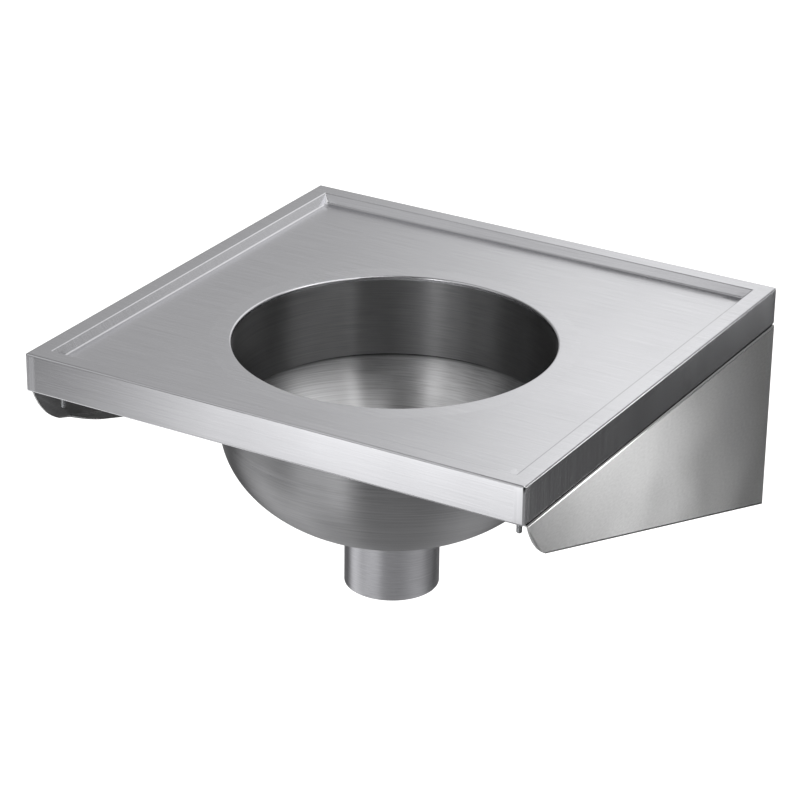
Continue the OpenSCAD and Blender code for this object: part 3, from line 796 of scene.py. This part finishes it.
def beadGrid(line, side, section, closed):
    # ripples of a hand weld: point = line + k (side a + down b), k = 1 - depth |sin(pi s / ripple)|,
    # and an open run closes at its ends with k times sqrt(1 - (2 s / L - 1)^8)
    s = pathLength(line)
    k = 1 - welds["rippleDepth"] * np.abs(np.sin(np.pi * s / welds["ripple"]))
    if not closed:
        k *= np.sqrt(np.clip(1 - (2 * s / s[-1] - 1) ** 8, 0, 1))
    down = np.array([0, 0, -1.0])
    return line[:, None] + k[:, None, None] * (side[:, None] * section[:, 0, None] + down * section[:, 1, None])


def buildWelds():
    # a fillet in section: leg (cos q, sin q) / (f + (1 - f) (cos q + sin q)), its face flat at
    # fullness f = 0 and round at 1; the ridge over the ring's joint is half an ellipse
    q = np.linspace(0, np.pi / 2, welds["legSteps"])[:, None]
    full = welds["fullness"]
    leg = np.concatenate([np.cos(q), np.sin(q)], 1) / (full + (1 - full) * (np.cos(q) + np.sin(q)))
    leg = np.concatenate([leg, [[-welds["sunk"], -welds["sunk"]]]])
    h = np.linspace(0, np.pi, welds["ridgeSteps"])[:, None]
    ridge = np.concatenate([np.cos(h) * welds["rootHalf"], np.sin(h) * welds["rootHeight"]], 1)
    ridge = np.concatenate([ridge, [[0, -welds["rootSunk"]]]])
    spoke = ringPoints(1.0, 0.0, fullTurn(welds["steps"]))
    axis = np.array([bowlAxis[0] / mm, bowlAxis[1] / mm, welds["under"]])
    few = spoke[::welds["spigotEvery"]]
    root = axis + few * bowl["outlet"] + np.array([0, 0, welds["spigotAt"] - welds["under"]])
    beads = [(beadGrid(axis + spoke * welds["rootRadius"], spoke, ridge, True), True, False),
             (beadGrid(axis + spoke * welds["filletRadius"], spoke, leg * welds["fillet"], True), True, False),
             (beadGrid(root, few, leg * welds["spigotLeg"], True), True, False)]
    n = welds["stitchSteps"]
    for end in (-1, 1):
        for y in welds["stitchAt"]:
            run = np.stack([np.full(n, end * welds["railEdge"]),
                            y + np.linspace(-0.5, 0.5, n) * welds["stitch"], np.full(n, welds["under"])], -1)
            inward = np.tile([-end * 1.0, 0, 0], (n, 1))
            beads.append((beadGrid(run, inward, leg * welds["stitchLeg"], False), False, end > 0))
    points, quads, first = [], [], 0
    for grid, closed, flip in beads:
        rows, cols = grid.shape[:2]
        quads.append(gridPoints(*gridQuads(rows, cols, closed, True, flip=flip), rows, cols) + first)
        points.append(grid.reshape(-1, 3))
        first += rows * cols
    points = np.concatenate(points)
    # painted shade: the bead round the outlet's root is painted near-black, for the dark line where the outlet
    # meets the dome
    outletJointShade = np.linalg.norm((points - axis)[:, :2], axis=1) < bowl["outlet"] + welds["spigotReach"]
    piece = putMesh("weldBeads", points * mm, np.concatenate(quads), None, {"shadeField": outletJointShade})
    closeSeams(piece)
    dress(piece, weldSteel, "deck_steel")


buildWelds()
print("welds laid")

# studio; lengths in m from here

studio = {
    "floor": -0.75, "floorHalf": 6, "floorColour": "#F4F4F4",
    "floorGlow": 0.55,        # own light of the floor, for the camera only
    "skyForLight": 0.85,      # plain level that reaches matt surfaces
}
tent = {
    "centre": (0, -0.3, 0), "radius": 1.6, "ground": -0.7, "base": 0.035,
    "cell": 1.0,              # degrees
    # middle azimuth, half width, softness; lowest and highest elevation, softness; brightness
    "panels": {
        "ground": (-66, 180, 3, -100, -52, 4, 0.33),
        "groundFront": (-53, 82, 6, -52, -9, 4, 0.4),
        "left": (203, 15, 4, -50, -12, 6, 1.1),
        "leftLow": (-139, 13, 4, -62, -34, 5, 1.05),
        "front": (-103.7, 17.2, 3, -20, -3, 2, 1.75),
        "frontHigh": (-102, 15.5, 3.5, -3, 37, 2.5, 0.55),
        "leftSide": (152, 20, 6, -26, 5, 5, 0.5),
        "domeLeft": (-166, 9, 3, -18, -4, 4, 0.45),
        "domeLow": (-166, 9, 3, -48, -34, 4, 0.5),
        "slopeRight": (-115, 12, 3, 36, 54, 4, 1.2),
        "bendLeft": (-133, 9, 3, 6, 28, 3, 0.7),
        "frontLeft": (-140, 13, 4, 28, 50, 4, 0.85),
        "bendBack": (-162, 36, 5, 54, 76, 4, 0.7),
        "rearLow": (88, 14, 4, -45, -28, 4, 0.3),
        "sideLow": (38, 8, 4, -34, -14, 4, 0.15),
        "sideBack": (61, 6.5, 3, -14, 4, 3, 0.15),
        "dishFill": (-60, 12, 4, 10, 45, 5, 0.35),
        "key": (-90, 5, 2, 14, 38, 3, 4.2),
        "strip": (43.6, 3.9, 1.4, -10, 6.8, 1.5, 6.5),
        "stripLow": (12, 30, 8, -65, -36, 2, 0.55),
        "back": (85.5, 28.5, 6, 16, 60, 8, 1.2),
        "backLeft": (128, 34, 9, 16, 60, 8, 0.67),
        "rightFront": (-13, 10, 3, 20, 36, 3, 2.25),
        "streak": (-27, 1.7, 0.7, 20, 50, 4, 5.0),
        "rightHigh": (20, 40, 3, 54, 68, 3, 2.2),
        "rightMid": (21, 16, 3, 32, 58, 5, 2.5),
        "topFront": (-8, 40, 4, 70, 93, 2, 2.8),
    },
}
lamp = {
    "azimuth": -99, "elevation": 55,        # degrees, azimuth from +X towards +Y
    "distance": 2.6, "size": 1.2, "power": 6, "aim": (0, -0.33, 0.05),
}


def softBox(x, low, high, soft):
    # 1 between low and high, fading at both ends: 1 / ((1 + e^((low - x) / soft)) (1 + e^((x - high) / soft)))
    rise, fall = np.clip((low - x) / soft, -50, 50), np.clip((x - high) / soft, -50, 50)
    return 1 / ((1 + np.exp(rise)) * (1 + np.exp(fall)))


def buildTent():
    # light tent seen only in reflections: a sphere with a flat bottom, its brightness a plain base plus
    # soft panels set out by azimuth and elevation
    az = np.radians(np.arange(-180, 180, tent["cell"]))
    el = np.radians(np.linspace(-90, 90, int(180 / tent["cell"]) + 1))[:, None]
    seen = tent["radius"] * ringPoints(np.cos(el), np.sin(el), az)
    centre = np.array(tent["centre"])
    seen[..., 2] = np.maximum(seen[..., 2], tent["ground"] - centre[2])
    azimuth = np.degrees(np.arctan2(seen[..., 1], seen[..., 0]))
    height = np.degrees(np.arctan2(seen[..., 2], np.hypot(seen[..., 0], seen[..., 1])))
    glow = np.full(azimuth.shape, tent["base"])
    for middle, half, soft, low, high, softHigh, power in tent["panels"].values():
        x = (azimuth - middle + 180) % 360 - 180
        glow += power * softBox(x, -half, half, soft) * softBox(height, low, high, softHigh)
    rows, cols = azimuth.shape
    quads = gridPoints(*gridQuads(rows, cols, False, True, flip=True), rows, cols)
    piece = putMesh("lightTent", centre + seen, quads, None, {"glow": glow})
    closeSeams(piece)
    mat, tree = emptyMaterial("tentCloth")
    bright = addNode(tree, "Attribute", attribute_name="glow", attribute_type="GEOMETRY")
    shine = addNode(tree, "Emission", {"Strength": (bright, "Fac")})
    addNode(tree, "OutputMaterial", {"Surface": (shine, 0)})
    mat.cycles.emission_sampling = "NONE"
    piece.data.materials.append(mat)
    piece.visible_camera = False
    piece.visible_diffuse = False
    piece.visible_shadow = False
    piece.visible_transmission = False


def buildSky():
    # white surround for camera, gloss and glass, and a plainer level for matt light
    world = bpy.data.worlds.new("surround")
    world.use_nodes = True
    tree = world.node_tree
    tree.nodes.clear()
    path = addNode(tree, "LightPath")
    seen = addNode(tree, "Math", {0: (path, "Is Camera Ray"), 1: (path, "Is Glossy Ray")}, operation="MAXIMUM")
    clear = addNode(tree, "Math", {0: (seen, 0), 1: (path, "Is Transmission Ray")}, operation="MAXIMUM")
    strength = addNode(tree, "MapRange", {"Value": (clear, 0), "To Min": studio["skyForLight"], "To Max": 1.0})
    sky = addNode(tree, "Background", {"Color": (1, 1, 1, 1), "Strength": (strength, 0)})
    addNode(tree, "OutputWorld", {"Surface": (sky, 0)})
    scene.world = world


def buildFloor():
    # pale and matt, a touch of its own white for the camera, so that only the shadow is darker
    half = studio["floorHalf"]
    points = np.array([(x, y, studio["floor"]) for y in (-half, half) for x in (-half, half)], float)
    piece = putMesh("floorSheet", points, np.array([[0, 1, 3, 2]]), smooth=False)
    mat, tree = emptyMaterial("floorPaper")
    path = addNode(tree, "LightPath")
    matt = addNode(tree, "BsdfDiffuse", {"Color": linearColour(studio["floorColour"])})
    glow = addNode(tree, "Emission", {"Strength": studio["floorGlow"]})
    both = addNode(tree, "AddShader", {0: (matt, 0), 1: (glow, 0)})
    mix = addNode(tree, "MixShader", {"Fac": (path, "Is Camera Ray"), 1: (matt, 0), 2: (both, 0)})
    # clear from below, so that the underside can be looked at
    side = addNode(tree, "NewGeometry")
    below = addNode(tree, "BsdfTransparent")
    paper = addNode(tree, "MixShader", {"Fac": (side, "Backfacing"), 1: (mix, 0), 2: (below, 0)})
    addNode(tree, "OutputMaterial", {"Surface": (paper, 0)})
    piece.data.materials.append(mat)


def buildLamp():
    # one soft area lamp, aimed at the bowl
    a, e = math.radians(lamp["azimuth"]), math.radians(lamp["elevation"])
    way = Vector((math.cos(a) * math.cos(e), math.sin(a) * math.cos(e), math.sin(e)))
    light = bpy.data.lights.new("lampFront", "AREA")
    light.shape = "RECTANGLE"
    light.size = light.size_y = lamp["size"]
    light.energy = lamp["power"]
    place = Matrix.Translation(Vector(lamp["aim"]) + way * lamp["distance"])
    linkPiece("lampFront", light).matrix_world = place @ way.to_track_quat("Z", "Y").to_matrix().to_4x4()


buildSky()
buildFloor()
buildTent()
buildLamp()
print("studio built")
